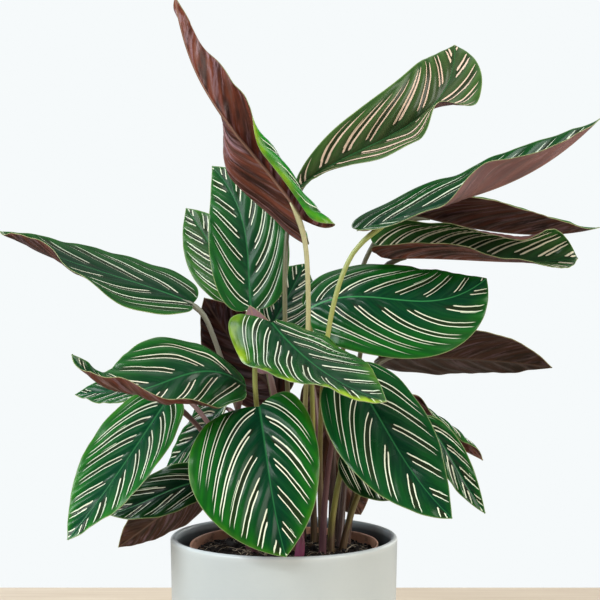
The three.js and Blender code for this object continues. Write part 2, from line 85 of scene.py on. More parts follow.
# One row a leaf. Its shape is the CAD model's: width; widest, blunt and point for the outline; skew, slant,
# lobe and sweep for the halves; rib, four points on the midrib; face, where the upper side looks; left and
# right, or both, for how the halves bend; root and via, where the stalk starts and what it passes.
# Its looks: stalk; cells, the pairs of pinstripes in each half, and slopes, how steep they are at the base
# and the tip; stripe, clear and pink, their width, strength and tint; midrib, its brightness; light, fresh
# and olive, how bright, how yellow outwards and how dull the green is, light being partly painted light and
# shade for how lit the leaf sits; glow, a painted glow of light through the margin, yellow-green, one number
# or left and right; shine, the gloss; wine, tan and grey, how bright and how brown the underside is and how
# much of it the painted lilac-grey sheen covers.
LEAVES = dict(
    spire=dict(slot="leaf_underside", width=90, point=1.35, skew=-0.1, slant=0.15, lobe=1.85,
        rib=[(16, -28, 474), (-29, -48, 532), (-69, -70, 585), (-91, -92, 658)],
        face=[(0.3, 0.9, 0.2), (0.3, 0.9, 0.3)],
        left=bend([30, 75, 84, 80, 68, 40], [0, -255, -250, -120, 0, 0]),
        right=bend([50, 40, 32, 86, 100, 100]), root=(10, -8), via=(22, -16, 374),
        stalk="pale", cells=7, light=1.9, fresh=1, glow=0.9),
    paddle=dict(width=82, widest=0.6, blunt=1, point=2.6,
        rib=[(8, 17, 500), (70, 28, 541), (135, 40, 580), (165, 66, 649)],
        face=[(-0.3, -0.8, 0.5), (0, -0.95, 0.2)], left=bend([60, 50, 32, 18], [-10, -10, -20]),
        right=bend([60, 46, 36, 32, 38, 70, 30, 30, 20], [0, 0, -20]), root=(14, 16), via=(1, 8, 384),
        stalk="dark", cells=8.2, stripe=1.7, pink=0.8, fresh=0.8, olive=0.6),
    sweep=dict(slot="leaf_underside", width=80, slant=-0.4, lobe=1.6,
        rib=[(81, -20, 466), (142, -50, 486), (201, -84, 505), (264, -112, 552)],
        face=[(-0.1, -0.22, 0.95), (-0.2, -0.25, 0.9)], left=bend([28, 20, 28, 42, 42, 38]),
        right=bend([20, -4, 4, 44, 34, 32]), root=(36, -18), via=(40, -24, 369),
        stalk="olive", slopes=(1.2, 4.5), clear=0.8, light=0.65, fresh=0.4, shine=0.2, tan=0.3, grey=0.35),
    wing=dict(slot="leaf_underside", width=80, widest=0.26, point=1.5,
        rib=[(125, 44, 483), (185, 64, 471), (251, 84, 466), (315, 104, 474)],
        face=[(0, -0.1, 1), (0, -0.2, 0.9)], left=bend([45, 56, 48]), right=bend([40, 50, 42]),
        root=(44, 16), via=(65, 48, 401),
        stalk="dark", cells=8, wine=0.28, tan=0.1),
    scroll=dict(width=88, widest=0.5, blunt=0.4, point=4, lobe=1.4,
        rib=[(102, 38, 441), (162, 34, 440), (222, 26, 437), (274, 16, 440)],
        face=[(0, -0.2, 1), (0, -0.3, 0.9)], left=bend([60, 60, 55, 50], [20, 95, 145, 40]),
        right=bend([30, 30, 18, -5]), root=(50, 6), via=(76, 46, 372),
        stalk="dark", cells=8, stripe=1.6, clear=1, pink=0.4, light=1.1, fresh=0.4, olive=0.3, wine=0.9),
    upright=dict(width=76, skew=-0.06, lobe=0.5,
        rib=[(-31, 16, 394), (-34, 24, 437), (-42, 38, 483), (-70, 56, 530)], face=[(-0.05, -1, 0.1)],
        both=bend(8), root=(2, 12),
        stalk="dark", cells=6.2, stripe=0.8, light=1.1, fresh=0.35, olive=0.1, shine=0.14),
    outrigger=dict(width=88, widest=0.45, slant=-0.2, lobe=0.5,
        rib=[(-84, -4, 398), (-143, 8, 419), (-206, 22, 439), (-270, 36, 466)], face=[(0.25, -0.6, 0.78)],
        left=bend([8, 0, 8, 20, 30], [0, 0, 36, 75, 60]), right=bend([10, -8, -8, 0]), root=(-6, 0),
        via=(-57, -4, 346),
        stalk="grey", cells=4.2, slopes=(1.8, 6), stripe=0.85, clear=0.65, light=0.6, fresh=0.8, olive=0.05,
        shine=0.1, wine=0.6),
    broad=dict(width=100, widest=0.5, point=2.4, skew=-0.1, lobe=0.6, sweep=0.08,
        rib=[(23, 10, 393), (77, 0, 404), (131, -4, 400), (187, 4, 421)],
        face=[(0, -0.9, 0.4), (0.1, -0.9, 0.3)], left=bend(-15, -15), right=bend(0, -12), root=(28, 22),
        stalk="olive", cells=6.6, stripe=0.85, midrib=1, light=0.9, fresh=0.7),
    dusk=dict(slot="leaf_underside", width=72, widest=0.45,
        rib=[(90, 56, 346), (153, 90, 344), (218, 124, 339), (276, 148, 331)], face=[(0, 0.7, 0.7)],
        both=bend(12), root=(46, 34),
        stalk="dark", cells=8, wine=0.22, tan=0.5),
    centre=dict(width=84, slant=0.6, lobe=1.4,
        rib=[(-10, -46, 381), (16, -84, 355), (48, -122, 333), (84, -154, 320)],
        face=[(0, -0.62, 0.78), (0.1, -0.7, 0.7)], left=bend([-25, -12, 4, 10], -10),
        right=bend([0, -22, 12, 34, 20], -10), root=(4, -24), via=(-25, -36, 316),
        stalk="olive", cells=6.6, stripe=0.8, clear=0.85, light=0.8, fresh=1, olive=0.05, glow=(0.15, 1.0),
        shine=0.2),
    curled=dict(width=88, point=1.4, slant=-0.45, lobe=-0.15,
        rib=[(-33, -44, 325), (-83, -74, 337), (-128, -100, 324), (-174, -118, 356)], face=[(0, -0.7, 0.7)],
        left=bend([0, -34, -20, 50, 60], [0, 0, 60, 50, 20], [90, 90, 60, 0, 0]),
        right=bend([-25, -6, 14, 10, -5, -25, -10]), root=(-22, -18), via=(-41, -36, 258),
        cells=6.2, stripe=0.8, pink=0.3, light=0.9, fresh=0.5, olive=0.05, wine=0.65),
    sliver=dict(width=54, rib=[(-103, 38, 319), (-137, 48, 317), (-171, 58, 313), (-204, 66, 309)],
        face=[(0, -0.6, 0.8)], both=bend(10), root=(-28, 8),
        stripe=0.7),
    front=dict(width=112, widest=0.42, skew=-0.2, slant=-0.35, lobe=0.45,
        rib=[(-21, -58, 308), (-14, -88, 269), (-7, -106, 229), (3, -116, 188)],
        face=[(0, -0.95, 0.35), (0.05, -0.98, 0.1)], left=bend(5, -12), right=bend(12, -12), root=(-12, -34),
        stalk="olive", cells=5.6, light=0.85, fresh=0.95, glow=0.25, shine=0.15),
    shoulder=dict(width=88, skew=-0.12, lobe=0.5,
        rib=[(59, -48, 337), (85, -74, 296), (108, -100, 258), (140, -122, 221)], face=[(0.1, -0.9, 0.4)],
        left=bend(5, -10), right=bend(12, -10), root=(34, -34),
        light=0.75, fresh=0.15, shine=0.2),
    droop=dict(width=76, skew=-0.05, lobe=0.5,
        rib=[(-106, -8, 311), (-132, -34, 270), (-157, -58, 232), (-185, -78, 195)],
        face=[(-0.3, -0.8, 0.5)], both=bend(12), root=(-30, -4),
        cells=6.6, stripe=0.95, light=1.2, fresh=0.8, glow=0.2),
    strand=dict(width=30, rib=[(128, 6, 291), (147, 6, 267), (163, 0, 239), (184, -8, 206)],
        face=[(0, -0.9, 0.3)], both=bend(15), root=(52, -2),
        stalk="olive", cells=4, slopes=(1.2, 3.5), light=0.9),
    ribbon=dict(slot="leaf_underside", width=32,
        rib=[(114, 40, 308), (142, 60, 287), (169, 78, 269), (196, 92, 242)], face=[(0, 1, 0.2)],
        left=bend(10), right=bend(0, [0, -150, -190, -190]), root=(58, 22),
        stalk="dark", wine=0.6),
    nook=dict(width=56, rib=[(60, -12, 268), (76, -16, 253), (91, -20, 237), (105, -24, 222)],
        face=[(-0.1, -0.9, 0.3)], root=(42, -8),
        stalk="olive", cells=3, slopes=(1.6, 4), light=0.25, fresh=0.2),
    bronze=dict(slot="leaf_underside", width=50, widest=0.6, point=3,
        rib=[(26, 50, 324), (38, 64, 280), (54, 80, 234), (75, 92, 188)], face=[(0, 1, 0)], root=(36, 30),
        cells=6, wine=0.7, tan=0.5),
    shade=dict(width=46, rib=[(-65, 20, 233), (-98, 22, 226), (-131, 22, 212), (-164, 20, 200)],
        face=[(0, -0.8, 0.5)], root=(-16, 14),
        cells=3, slopes=(1.6, 4), stripe=0.65, clear=0.7, light=0.4),
    plum=dict(slot="leaf_underside", width=60,
        rib=[(-82, 56, 235), (-102, 68, 208), (-132, 76, 182), (-164, 80, 158)], face=[(-0.1, 0.8, 0.6)],
        root=(-28, 24),
        cells=6, wine=0.6, tan=0.55),
    back_left=dict(width=60, rib=[(-46, 74, 403), (-63, 88, 434), (-80, 104, 464), (-101, 120, 494)],
        face=[(0, -1, 0.2)], root=(-8, 46),
        stalk="olive", light=1.3, fresh=0.8, olive=0.4, shine=0.14),
    back_right=dict(width=66, rib=[(-18, 66, 367), (-5, 88, 390), (7, 110, 413), (19, 130, 438)],
        face=[(0.1, -1, 0.1)], root=(18, 46),
        stalk="olive", cells=6),
    maroon=dict(slot="leaf_underside", width=74,
        rib=[(-2, 26, 309), (-27, 36, 334), (-54, 48, 367), (-78, 60, 403)], face=[(0, 0.9, 0.2)],
        root=(6, 34),
        cells=7, wine=0.18),
    lilac=dict(slot="leaf_underside", width=34,
        rib=[(-13, -8, 335), (-19, -10, 355), (-25, -12, 375), (-31, -14, 396)], face=[(0, 1, 0)],
        root=(2, 1),
        grey=0.6),
    pale=dict(width=60, rib=[(-57, 54, 300), (-77, 78, 278), (-97, 98, 255), (-120, 114, 233)],
        face=[(-0.4, -0.7, 0.6)], root=(-12, 28),
        light=1.3),
)

DEFAULTS = dict(
    slot="leaf_upper", widest=0.4, blunt=0.5, point=1.8, skew=0, slant=0, lobe=0.3, sweep=0.25, both=bend(5),
    stalk="purple", cells=5, slopes=(0.5, 2.2), stripe=1, clear=0.93, pink=0.1, midrib=0.5, light=1,
    fresh=0.5, olive=0, glow=0.06, shine=0.24, wine=1, tan=0, grey=0)
LEAVES = [DEFAULTS | {"name": name} | leaf for name, leaf in LEAVES.items()]


# ---- leaf shape, as in the CAD model
def smooth(low, high, x):
    s = np.clip((x - low) / (high - low), 0, 1)
    return s * s * (3 - 2 * s)


def along(values, t):
    """The value at each t of a number or of a list spread evenly along the leaf."""
    values = np.atleast_1d(np.asarray(values, float))
    place = np.asarray(t, float) * (len(values) - 1)
    first = np.clip(place.astype(int), 0, len(values) - 1)
    after = np.minimum(first + 1, len(values) - 1)
    share = smooth(0, 1, place - first)
    return values[first] * (1 - share) + values[after] * share


def unit(vectors):
    return vectors / np.linalg.norm(vectors, axis=-1, keepdims=True)


class Curve:
    """A Bezier curve read by its share of arc length."""

    def __init__(self, handles):
        self.handles = [np.asarray(h, float) for h in handles]
        grid = np.linspace(0, 1, 401)
        steps = np.linalg.norm(np.diff(self.raw(grid), axis=0), axis=1)
        self.lengths = np.concatenate([[0], np.cumsum(steps)])
        self.grid = grid
        self.length = self.lengths[-1]

    def raw(self, u):
        points = [np.broadcast_to(h, np.shape(u) + (3,)) for h in self.handles]
        u = np.asarray(u, float)[..., None]
        while len(points) > 1:
            points = [a * (1 - u) + b * u for a, b in zip(points, points[1:])]
        return points[0]

    def at(self, t):
        return self.raw(np.interp(np.asarray(t, float) * self.length, self.lengths, self.grid))

    def ahead(self, t):
        u = np.interp(np.asarray(t, float) * self.length, self.lengths, self.grid)
        return unit(self.raw(np.minimum(u + 1e-4, 1)) - self.raw(np.maximum(u - 1e-4, 0)))


def midrib(leaf):
    p0, p1, p2, p3 = (np.array(p, float) for p in leaf["rib"])
    handle1 = -5 / 6 * p0 + 3 * p1 - 3 / 2 * p2 + 1 / 3 * p3
    handle2 = 1 / 3 * p0 - 3 / 2 * p1 + 3 * p2 - 5 / 6 * p3
    return Curve([p0, handle1, handle2, p3])


def outline(leaf, t):
    widest, blunt, point = leaf["widest"], leaf["blunt"], leaf["point"]
    base = (1 - (1 - np.minimum(t / widest, 1)) ** 2) ** blunt
    tip = 1 - np.clip((t - widest) / (1 - widest), 0, 1) ** point
    return np.where(t < widest, base, tip)


def frames(leaf, curve, t):
    ahead = curve.ahead(t)
    face = np.stack([along([f[axis] for f in leaf["face"]], t) for axis in range(3)], -1)
    normal = unit(face - (face * ahead).sum(-1, keepdims=True) * ahead)
    return ahead, normal, np.cross(ahead, normal)


class Sheet:
    """The middle surface of a blade on a grid of t, base to tip, and v, -1 left to 1 right."""

    def __init__(self, leaf, t, v):
        curve = midrib(leaf)
        ahead, normal, across = frames(leaf, curve, t)
        half_width = np.maximum(leaf["width"] / 2 * outline(leaf, t), POINTED_END)
        bent = np.minimum(1, half_width / FLAT_END)[:, None]
        share = np.abs(v)[None, :]
        steps = 96
        s = (np.arange(steps) + 0.5)[None, :] / steps
        out = np.zeros((len(t), len(v)))
        rise, tilt = out.copy(), out.copy()
        for side, key in ((-1, "left"), (1, "right")):
            fold, curl, hook = (along(part, t)[:, None] for part in leaf.get(key) or leaf["both"])
            angles = np.radians(bent * (fold + curl * s + hook * s ** 4))
            sums = [np.pad(np.cumsum(f(angles), 1), ((0, 0), (1, 0))) / steps for f in (np.cos, np.sin)]
            mine = v < 0 if side < 0 else v >= 0
            place = np.abs(v[mine]) * steps
            low = np.minimum(place.astype(int), steps - 1)
            for target, total in zip((out, rise), sums):
                target[:, mine] = total[:, low] * (1 - place + low) + total[:, low + 1] * (place - low)
            own = share[:, mine]
            tilt[:, mine] = np.radians(bent * (fold + curl * own + hook * own ** 4)) * (own > 0)
        side = np.where(v < 0, -1.0, 1.0)[None, :]
        full = half_width[:, None] * (1 - side * leaf["skew"])
        lobe = leaf["lobe"] + side * leaf["slant"]
        shift = (leaf["sweep"] * t[:, None] - lobe * (1 - t[:, None]) ** 2) * half_width[:, None] * share
        self.at = (curve.at(t)[:, None] + across[:, None] * (side * out * full)[..., None]
                   + normal[:, None] * (rise * full)[..., None] + ahead[:, None] * shift[..., None])
        self.facing = (-across[:, None] * (side * np.sin(tilt))[..., None]
                       + normal[:, None] * np.cos(tilt)[..., None])
        self.x = full * share
        self.y = t[:, None] * curve.length + shift
        self.full = full
        self.side = np.broadcast_to(side, self.x.shape)
        self.share = np.broadcast_to(share, self.x.shape)
        self.t = np.broadcast_to(t[:, None], self.x.shape)
        self.length = curve.length


def vein_field(leaf, sheet):
    """Where each point's side vein leaves the midrib, counted in cells, and a cell's width at the point."""
    length, half = sheet.length, leaf["width"] / 2
    base_slope, tip_slope = leaf["slopes"]
    x, y = sheet.x, sheet.y
    low, high = np.full(x.shape, -0.9 * length), np.full(x.shape, 1.3 * length)
    rise = tip_slope - base_slope

    def slope(y0):
        return base_slope + rise * np.clip(y0 / length, -0.6, 1)

    bow = x * (0.5 * (x / half) + 0.9 * (x / half) ** 2)
    for _ in range(40):
        y0 = (low + high) / 2
        above = y0 + x * slope(y0) + bow > y
        high = np.where(above, y0, high)
        low = np.where(above, low, y0)
    y0 = (low + high) / 2
    stretch = 1 + x * rise / length
    steep = slope(y0) + x / half + 2.7 * (x / half) ** 2
    # steeper veins start further apart, so that their spacing across stays much the same
    start, end = np.arcsinh(base_slope), np.arcsinh(tip_slope)
    cells = leaf["cells"] / (end - start)
    counted = (np.arcsinh(base_slope + rise * y0 / length) - start) * cells
    cell = length / (cells * rise) * np.sqrt(1 + slope(y0) ** 2)
    return counted, cell * stretch / np.sqrt(1 + steep ** 2)


# ---- meshes
def full_turn(sides):
    return np.linspace(0, TURN, sides, endpoint=False)


def ring_faces(rows, sides):
    """The point numbers of rows of closed rings, the same one place on, and the quads between rows."""
    index = np.arange(rows * sides).reshape(rows, sides)
    turned = np.roll(index, -1, axis=1)
    quads = np.stack([index[:-1], turned[:-1], turned[1:], index[1:]], -1).reshape(-1, 4)
    return index, turned, quads


def add_piece(name, points, faces, materials, node=None, floats=None, vectors=None, picks=None):
    """A smooth mesh piece from points in millimetres, riding on the part's one body."""
    mesh = bpy.data.meshes.new(name)
    mesh.from_pydata((np.asarray(points, float) * MM).tolist(), [], [list(map(int, f)) for f in faces])
    for material in materials:
        mesh.materials.append(material)
    mesh.polygons.foreach_set("use_smooth", np.ones(len(mesh.polygons), bool))
    if picks is not None:
        mesh.polygons.foreach_set("material_index", np.asarray(picks, np.int32))
    for kind, field, given in (("FLOAT", "value", floats), ("FLOAT_VECTOR", "vector", vectors)):
        for key, values in (given or {}).items():
            layer = mesh.attributes.new(key, kind, "POINT")
            layer.data.foreach_set(field, np.asarray(values, np.float32).ravel())
    mesh.update()
    piece = bpy.data.objects.new(name, mesh)
    show(piece)
    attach(piece, "root")
    if node:
        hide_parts(node)


def blade_piece(leaf, number):
    rows, half_columns = (112, 26) if leaf["width"] > LARGE_LEAF else (72, 18)
    even = np.linspace(0, 1, rows)
    t = 0.35 * even + 0.325 * (1 - np.cos(np.pi * even))
    u = np.linspace(-1, 1, 2 * half_columns + 1)
    v = u * (0.62 + 0.38 * u ** 2)
    sheet = Sheet(leaf, t, v)
    cells, spacing = vein_field(leaf, sheet)
    cells = cells + (0.37 * number) % 1 + np.where(sheet.side < 0, 0.45, 0)  # leaves and halves differ

    # side veins stand in soft folds, and the margin waves a little
    calm = smooth(0, 7, sheet.x) * smooth(0, 10, sheet.full) * (1 - 0.75 * sheet.share ** 4)
    folds = np.cos(TURN * cells) * calm
    rng = np.random.default_rng(100 + number)
    turns = rng.uniform(0, TURN, 4)
    wave = sum(np.sin(TURN * k * sheet.t + turns[k % 4] + (sheet.side > 0) * turns[(k + 1) % 4])
               for k in (2, 3, 5))
    margin = MARGIN_WAVE * wave * sheet.share ** 3 * smooth(0, 16, sheet.full)
    rise = folds + margin
    rib = np.exp(-(sheet.x / 1.7) ** 2) * (1 - 0.75 * sheet.t)
    upper = sheet.at + sheet.facing * (rise + SKIN - RIB_ABOVE * rib)[..., None]
    lower = sheet.at + sheet.facing * (rise - SKIN - RIB_BELOW * rib)[..., None]
    outward = unit(sheet.at[:, [0, -1]] - sheet.at[:, [1, -2]])
    edge = sheet.at[:, [0, -1]] + sheet.facing[:, [0, -1]] * rise[:, [0, -1], None] + outward * SKIN

    columns = len(v)
    ring = 2 * columns + 2
    points = np.concatenate([upper, edge[:, 1:], lower[:, ::-1], edge[:, :1]], 1)
    index, _, quads = ring_faces(rows, ring)
    column = np.tile(np.arange(ring), rows - 1)
    picks = np.full(len(quads), RIM)
    picks[column < columns - 1] = UPPER
    picks[(column > columns) & (column < ring - 2)] = UNDERSIDE
    faces, kinds = quads.tolist(), picks.tolist()
    for row, order in ((0, -1), (rows - 1, 1)):
        top, under = index[row, :columns], index[row, columns + 1:ring - 1][::-1]
        caps = [[top[k], under[k], under[k + 1], top[k + 1]] for k in range(columns - 1)]
        caps += [[top[-1], under[-1], index[row, columns]], [under[0], top[0], index[row, -1]]]
        faces += [cap[::order] for cap in caps]
        kinds += [RIM] * len(caps)

    def ringed(values):
        return np.concatenate([values, values[:, -1:], values[:, ::-1], values[:, :1]], 1)

    first_vein = VEINS_PER_HALF * (2 * number + 0.5 + (sheet.side > 0))
    # glow: the strength of the painted glow of light through the margin, faded in from the base
    left_glow, right_glow = np.broadcast_to(leaf["glow"], 2)
    glow = np.where(sheet.side < 0, left_glow, right_glow) * smooth(0.0, 0.12, sheet.t)
    floats = {"vein": cells + first_vein, "share": sheet.share, "spacing": spacing, "across": sheet.x,
              "edge": sheet.full - sheet.x, "length": sheet.t, "glow": glow}
    floats = {key: ringed(values) for key, values in floats.items()}
    materials = [upper_material(leaf), underside_material(leaf), LEAF_RIM]
    add_piece(f"{leaf['name']}_leaf", points.reshape(-1, 3), faces, materials,
              f"{leaf['name']}_blade", floats, picks=kinds)


def stalk_curve(leaf):
    root = np.array([*leaf["root"], SOIL_TOP - BURIED])
    curve = midrib(leaf)
    start = curve.at(0.0)
    normal = frames(leaf, curve, np.array([0.0]))[1][0]
    via = np.array(leaf["via"], float) if "via" in leaf else root + (start - root) * (0.3, 0.3, 0.58)

    def control(end):
        return 2 * via - root / 2 - end / 2

    arriving = unit(start - control(start))
    slant = math.sqrt(max(0, 1 - (arriving @ normal) ** 2))
    top = start - normal * (BLADE_THICKNESS / 2 + GAP + STALK_RADIUS * slant)
    return Curve([root, control(top), top])


def swept(points, radii, sides, swell=0.0):
    """Rings round a row of points, and the faces of the closed tube through them."""
    ahead = unit(np.gradient(points, axis=0))
    side = np.cross(ahead[0], (0, 1, 0.2))
    first = np.zeros_like(points)
    for k, direction in enumerate(ahead):
        side = side - (side @ direction) * direction
        side = side / np.linalg.norm(side)
        first[k] = side
    second = np.cross(ahead, first)
    angle = full_turn(sides)
    round_ = radii[:, None] * np.broadcast_to(1 + swell, (len(points), sides))
    rings = (points[:, None] + first[:, None] * (np.cos(angle) * round_)[..., None]
             + second[:, None] * (np.sin(angle) * round_)[..., None])
    index, _, quads = ring_faces(len(points), sides)
    return rings.reshape(-1, 3), quads.tolist() + [index[0, ::-1], index[-1]]


def stalk_piece(leaf, number):
    curve = stalk_curve(leaf)
    share = np.linspace(0, 1, 44)
    points = curve.at(share)
    blade = midrib(leaf)
    normal = frames(leaf, blade, np.array([0.0]))[1][0]
    # the top runs on under the blade and thins out along its midrib
    ends = blade.at(np.array([0.02, 0.05, 0.08])) - normal * np.array([[2.1], [1.7], [1.4]])
    points = np.concatenate([points[:-1], ends])
    for _ in range(3):
        points[-6:-1] = (points[-7:-2] + points[-6:-1] * 2 + points[-5:]) / 4
    run = np.concatenate([[0], np.cumsum(np.linalg.norm(np.diff(points, axis=0), axis=1))])
    total = run[-1]
    high = run - BURIED
    radii = 2.35 + 1.2 * np.exp(-np.maximum(high, 0) / 45) + 0.45 * smooth(total - 40, total - 22, run)
    radii = radii * (1 - 0.75 * smooth(total - 14, total, run))
    rng = np.random.default_rng(300 + number)
    drift = sum(rng.normal(size=3) * np.sin(np.pi * k * run / total)[:, None] / k for k in (2, 3, 5))
    points = points + drift * 0.5 * np.minimum(1, run * (total - run) / total ** 2 * 8)[:, None]
    angle = full_turn(STALK_SIDES)
    groove = -0.1 * np.exp(-((angle - np.pi) / 0.5) ** 2)[None, :] * smooth(0.15, 0.5, run / total)[:, None]
    tube, faces = swept(points, radii, STALK_SIDES, groove)
    around = np.tile(np.stack([np.cos(angle), np.sin(angle)], -1), (len(points), 1))
    length = np.repeat(run, STALK_SIDES)
    vectors = {"skin": np.column_stack([around * 2.5, length + 500 * number])}
    floats = {"rise": np.repeat(run / total, STALK_SIDES)}
    add_piece(f"{leaf['name']}_petiole", tube, faces, [stalk_material(leaf)],
              f"{leaf['name']}_stalk", floats, vectors)


def lathe(profile, sides):
    """A closed body turned about Z from radius and height points that start and end on the axis."""
    profile = np.array(profile, float)
    middle = profile[1:-1]
    angle = full_turn(sides)
    x, y = middle[:, :1] * np.cos(angle), middle[:, :1] * np.sin(angle)
    rings = np.stack([x, y, np.repeat(middle[:, 1:], sides, 1)], -1)
    points = np.concatenate([rings.reshape(-1, 3), [(0, 0, profile[0, 1]), (0, 0, profile[-1, 1])]])
    index, turned, quads = ring_faces(len(middle), sides)
    start, end = len(points) - 2, len(points) - 1
    fans = [[start, b, a] for a, b in zip(index[0], turned[0])]
    fans += [[end, a, b] for a, b in zip(index[-1], turned[-1])]
    return points, quads.tolist() + fans


def arc(centre, radius, start, end, count):
    angle = np.radians(np.linspace(start, end, count))
    return [(centre[0] + radius * math.cos(a), centre[1] + radius * math.sin(a)) for a in angle]


def line(a, b, count):
    return [tuple(np.array(a) + (np.array(b) - a) * k / count) for k in range(1, count)]


# ---- material graphs
class Graph:
    """A short way to write a node tree. Most methods return an output socket."""

    def __init__(self, owner):
        owner.use_nodes = True
        self.owner, self.tree = owner, owner.node_tree

    def put(self, socket, value):
        if isinstance(value, bpy.types.NodeSocket):
            self.tree.links.new(value, socket)
        elif isinstance(value, tuple) and len(value) == 3 and socket.type == "RGBA":
            socket.default_value = (*value, 1)
        else:
            socket.default_value = value

    def node(self, kind, inputs=(), **settings):
        node = self.tree.nodes.new("ShaderNode" + kind)
        for key, value in settings.items():
            setattr(node, key, value)
        for key, value in dict(inputs).items():
            self.put(node.inputs[key], value)
        return node

    def math(self, operation, a, b=0, c=0):
        return self.node("Math", {0: a, 1: b, 2: c}, operation=operation).outputs[0]

    def plus(self, a, b):
        return self.math("ADD", a, b)

    def minus(self, a, b):
        return self.math("SUBTRACT", a, b)

    def times(self, a, b):
        return self.math("MULTIPLY", a, b)

    def scaled(self, a, factor, start):
        return self.math("MULTIPLY_ADD", a, factor, start)

    def step(self, x, low, high, start=0, end=1):
        inputs = {"Value": x, "From Min": low, "From Max": high, "To Min": start, "To Max": end}
        return self.node("MapRange", inputs, interpolation_type="SMOOTHSTEP").outputs[0]

    def fade(self, x, low, high):
        return self.step(x, low, high, 1, 0)

    def number(self, name):
        return self.node("Attribute", attribute_name=name).outputs["Fac"]

    def combine(self, x=0, y=0, z=0):
        return self.node("CombineXYZ", {0: x, 1: y, 2: z}).outputs[0]

    def place(self, scale=(1, 1, 1)):
        spot = self.node("TexCoord").outputs["Object"]
        return self.node("Mapping", {"Vector": spot, "Scale": scale}).outputs[0]

    def noise(self, where, scale, detail=2, rough=0.5):
        inputs = {"Vector": where, "Scale": scale, "Detail": detail, "Roughness": rough}
        return self.node("TexNoise", inputs).outputs["Fac"]

    def grain(self, scale, detail=2, rough=0.5):
        return self.noise(self.place(), scale, detail, rough)

    def random(self, number):
        node = self.node("TexWhiteNoise", {"W": number}, noise_dimensions="1D")
        return self.node("SeparateColor", {0: node.outputs["Color"]}).outputs

    def mix(self, factor, a, b):
        return self.node("Mix", {0: factor, 6: a, 7: b}, data_type="RGBA").outputs[2]

    def ramp(self, factor, stops):
        node = self.node("ValToRGB", {0: factor})
        elements = node.color_ramp.elements
        while len(elements) < len(stops):
            elements.new(0.5)
        for element, (place, colour) in zip(elements, stops):
            element.position = place
            element.color = (*colour, 1)
        return node.outputs[0]

    def bump(self, height, strength, distance):
        inputs = {"Height": height, "Strength": strength, "Distance": distance}
        return self.node("Bump", inputs).outputs[0]

    def finish(self, colour, roughness, normal=None, shine=0.5, ior=1.5):
        shader = self.tree.nodes["Principled BSDF"].inputs
        inputs = {"Base Color": colour, "Roughness": roughness, "Specular IOR Level": shine, "IOR": ior}
        for key, value in inputs.items():
            self.put(shader[key], value)
        if normal is not None:
            self.put(shader["Normal"], normal)
        return self.owner


def material_graph(name):
    return Graph(bpy.data.materials.new(name))


def speckled(name, scale, detail, stops, gloss):
    """A material whose colour and gloss follow one noise."""
    g = material_graph(name)
    spots = g.grain(scale, detail)
    return g.finish(g.ramp(spots, stops), g.scaled(spots, *gloss))


LEAF_RIM = speckled("leaf_rim", 160, 2, [(0.35, (0.16, 0.22, 0.07)), (0.65, (0.34, 0.36, 0.18))], (0.2, 0.35))


def pin_stripes(g, width):
    """Masks of the lines in each vein cell and of the space between them, and the place in the cell."""
    vein, share = g.number("vein"), g.number("share")
    cell = g.math("FLOOR", vein)
    inside = g.minus(vein, cell)
    r1, r2, r3 = g.random(g.plus(cell, 0.5))[:3]
    r4, r5, r6 = g.random(g.plus(cell, 7000.5))[:3]
    wobble = g.noise(g.combine(g.times(share, 5), g.times(cell, 7.3)), 1, 1)
    centre = g.scaled(r1, 0.12, 0.44)
    spacing = g.number("spacing")
    room = g.math("MINIMUM", g.math("DIVIDE", spacing, 10), 1.3)
    off = g.plus(g.times(g.minus(inside, centre), spacing), g.scaled(wobble, 1.2, -0.6))
    apart = g.times(room, g.scaled(r2, 0.7, g.scaled(share, 0.35, 1.05)))
    thick = g.times(g.times(g.scaled(share, -0.6, 1), g.scaled(r3, 0.32, 0.45)), width)

    def stripe(offset, start, end, scale):
        begin = g.step(share, start, g.plus(start, 0.035))
        finish = g.math("POWER", g.fade(share, g.minus(end, 0.22), end), 0.5)
        half = g.times(g.times(begin, finish), g.times(thick, scale))
        distance = g.math("ABSOLUTE", g.plus(off, offset))
        sharp = g.fade(distance, g.minus(half, 0.16), g.plus(half, 0.16))
        return g.times(sharp, g.step(half, 0.05, 0.2))

    line_a = stripe(apart, g.scaled(r4, 0.1, 0.11), g.scaled(r5, 0.12, 0.86), 1)
    line_b = stripe(g.times(apart, -1), g.scaled(r3, 0.1, 0.1), g.scaled(r6, 0.12, 0.86), 1)
    third = g.scaled(r1, 0.9, 2.5)
    line_c = stripe(third, g.scaled(r6, 0.3, 0.3), g.scaled(r4, 0.2, 0.65), 0.5)
    line_c = g.times(line_c, g.math("GREATER_THAN", r2, 0.55))
    lines = g.math("MAXIMUM", g.math("MAXIMUM", line_a, line_b), line_c)
    between = g.fade(g.math("ABSOLUTE", off), g.minus(apart, 0.5), apart)
    between = g.times(g.times(between, g.step(share, 0.1, 0.2)), g.fade(share, 0.7, 0.92))
    return lines, between, inside


def along_midrib(g, slope, half, inward, outward):
    """A soft mask of the midrib, which narrows towards the tip."""
    half = g.scaled(g.number("length"), slope, half)
    return g.fade(g.number("across"), g.minus(half, inward), g.plus(half, outward))


def dimmed(colour, amount):
    return tuple(part * amount for part in colour)


